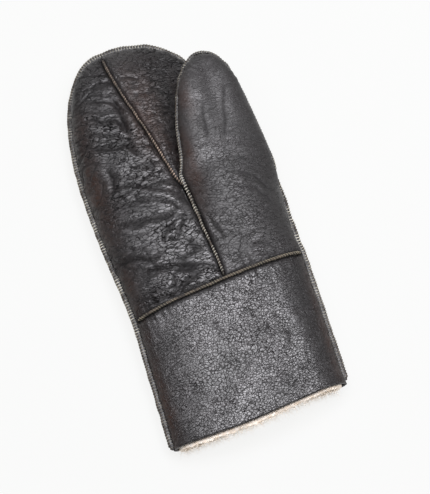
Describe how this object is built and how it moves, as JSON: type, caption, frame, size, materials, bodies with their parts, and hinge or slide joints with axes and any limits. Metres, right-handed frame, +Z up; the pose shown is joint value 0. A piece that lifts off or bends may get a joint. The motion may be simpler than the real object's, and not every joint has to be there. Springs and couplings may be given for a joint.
{
  "type": "leather mitten",
  "caption": "Right-hand shearling mitten in dark brown leather, palm up, with a long two-piece cuff and seams sewn outside.",
  "frame": {"origin": "under the middle of the mitten as it lies on its back, on the surface that it rests on", "axes": "+Y along the mitten towards the fingertips, +X towards the thumb's side, +Z up out of the palm"},
  "size_m": [0.1446, 0.3094, 0.0527],
  "materials": {
    "nappa_leather": "satin",
    "cuff_leather": "satin",
    "bound_edge": "matte",
    "cream_fleece": "matte"
  },
  "bodies": {
    "root": {"outer_palm_panel": "nappa_leather", "inner_palm_panel": "nappa_leather", "thumb_panel": "nappa_leather", "outer_back_panel": "nappa_leather", "inner_back_panel": "nappa_leather", "palm_cuff_panel": "cuff_leather", "back_cuff_panel": "cuff_leather", "cuff_fleece_lining": "cream_fleece", "side_seam": "bound_edge", "palm_seam": "bound_edge", "thumb_seam": "bound_edge", "palm_cuff_seam": "bound_edge", "back_cuff_seam": "bound_edge", "back_seam": "bound_edge"}
  },
  "joints": []
}
